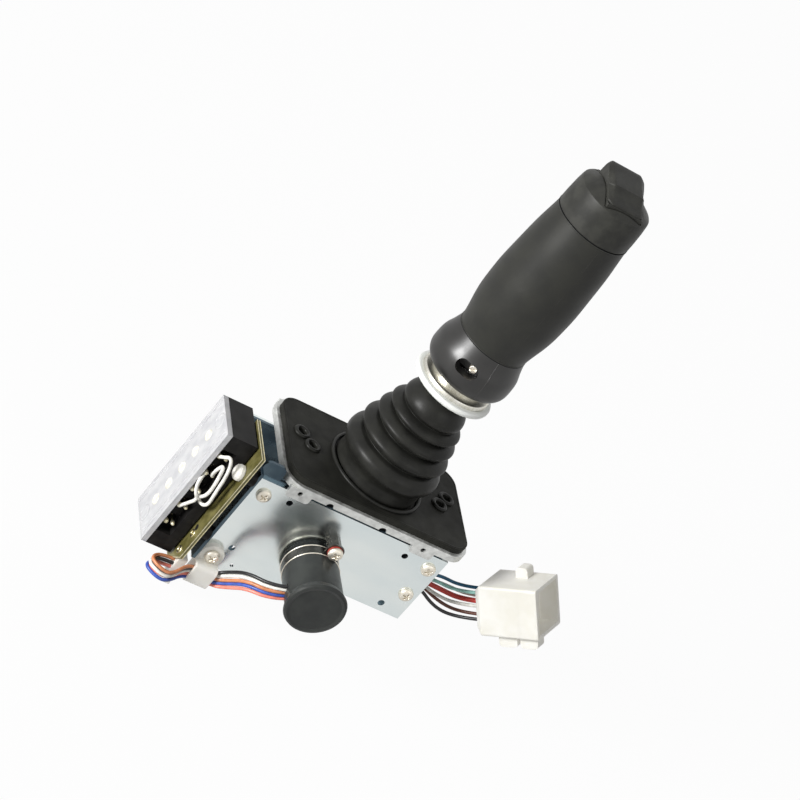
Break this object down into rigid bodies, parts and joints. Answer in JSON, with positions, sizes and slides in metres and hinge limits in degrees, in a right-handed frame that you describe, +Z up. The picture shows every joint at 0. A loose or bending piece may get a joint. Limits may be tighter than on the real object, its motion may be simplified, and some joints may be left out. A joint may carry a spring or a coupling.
{
  "type": "industrial joystick",
  "caption": "Under-panel lever controller with a rubber boot, lift ring, thumb rocker, geared potentiometer, contact block and wiring harness",
  "frame": {"origin": "centre of the boot flange's top face, on the lever's upright axis, where the panel sits", "axes": "+Z up the lever; the lever swings towards +X and -X about an axis along Y; the potentiometer is on the -Y side, the contact block at -X and the harness leaves at +X"},
  "size_m": [0.1926, 0.0894, 0.2586],
  "materials": {
    "boot_rubber": "moulded rubber, satin",
    "cast_zinc_grey": "satin grey passivated steel",
    "bright_zinc": "bright zinc-plated sheet",
    "frame_zinc": "zinc-plated sheet",
    "steel": "bright steel",
    "spring_steel": "oiled spring wire",
    "lever_steel": "turned and polished steel",
    "hub_aluminium": "machined",
    "bushing": "acetal",
    "gear": "moulded nylon",
    "pot_shell": "moulded",
    "pot_cap_black": "soft black cap",
    "red_fibre": "fibre",
    "board": "varnished laminate",
    "black_plastic": "moulded",
    "clear_cover": "clear moulding",
    "contact_metal": "plated",
    "nylon": "natural nylon",
    "wire_white": "insulation",
    "wire_black": "insulation",
    "wire_brown": "insulation",
    "wire_blue": "insulation",
    "wire_salmon": "insulation",
    "wire_red": "insulation",
    "wire_teal": "insulation",
    "wire_aqua": "insulation",
    "wire_grey": "insulation",
    "collar_plastic": "hard textured moulding",
    "grip_rubber": "soft grained sleeve",
    "head_plastic": "fine textured moulding"
  },
  "bodies": {
    "base": {"boot_flange": "boot_rubber", "bellows": "boot_rubber", "mounting_plate": "cast_zinc_grey", "front_side_plate": "bright_zinc", "rear_side_plate": "bright_zinc", "inner_frame": "frame_zinc", "end_bracket": "frame_zinc", "frame_screws": "steel", "pivot_pin": "steel", "pivot_spacers": "steel", "return_spring": "spring_steel", "spring_post": "steel", "pot_body": "pot_shell", "pot_nut": "steel", "pot_clamp_band": "steel", "pot_cap": "pot_cap_black", "pot_standoff": "steel", "pot_washer": "red_fibre", "circuit_board": "board", "board_spacers": "black_plastic", "spacer_nut": "nylon", "block_base": "black_plastic", "block_cover": "clear_cover", "block_contacts": "contact_metal", "jumper_wires": "wire_white", "lead_header": "nylon", "p_clip": "nylon", "lead_black": "wire_black", "lead_white": "wire_white", "lead_brown": "wire_brown", "lead_blue": "wire_blue", "lead_red": "wire_salmon", "harness_sleeve": "wire_black", "harness_clamp": "black_plastic", "harness_teal": "wire_teal", "harness_aqua": "wire_aqua", "harness_grey": "wire_grey", "harness_white": "wire_white", "harness_red": "wire_red", "harness_brown": "wire_brown", "harness_black": "wire_black", "connector_body": "nylon", "connector_shroud": "nylon"},
    "lever": {"lever_rod": "lever_steel", "lever_hub": "hub_aluminium", "hub_bushings": "bushing", "sector_gear": "gear", "handle_shell_left": "collar_plastic", "handle_shell_right": "collar_plastic", "handle_set_screw": "steel", "grip_sleeve": "grip_rubber", "head_cap": "head_plastic", "rocker_sensor": "black_plastic", "rocker_pin": "steel", "ring_spring": "spring_steel"},
    "lock_ring": {"lock_ring": "lever_steel"},
    "rocker": {"rocker": "head_plastic"},
    "pot_rotor": {"pot_shaft": "steel", "pinion": "gear"}
  },
  "joints": [
    {"name": "lever_swing", "type": "hinge", "parent": "base", "child": "lever", "pos_m": [0, 0, -0.018], "axis": [0, 1, 0], "range_deg": [-20, 20], "stiffness_Nm_per_rad": 3, "deforming": ["bellows", "return_spring"]},
    {"name": "ring_lift", "type": "slide", "parent": "lever", "child": "lock_ring", "axis": [0, 0, 1], "range_m": [0, 0.0035], "stiffness_N_per_m": 2000, "springref_m": -0.002, "deforming": ["ring_spring"]},
    {"name": "rocker_tilt", "type": "hinge", "parent": "lever", "child": "rocker", "pos_m": [0, -0.001, 0.171], "axis": [1, 0, 0], "range_deg": [-7, 7], "stiffness_Nm_per_rad": 0.3},
    {"name": "pot_turn", "type": "hinge", "parent": "base", "child": "pot_rotor", "pos_m": [-0.0127, 0, -0.0385], "axis": [0, 1, 0], "range_deg": [-62, 62]}
  ],
  "couplings": [
    {"joint": "pot_turn", "follows": "lever_swing", "ratio": -3}
  ]
}
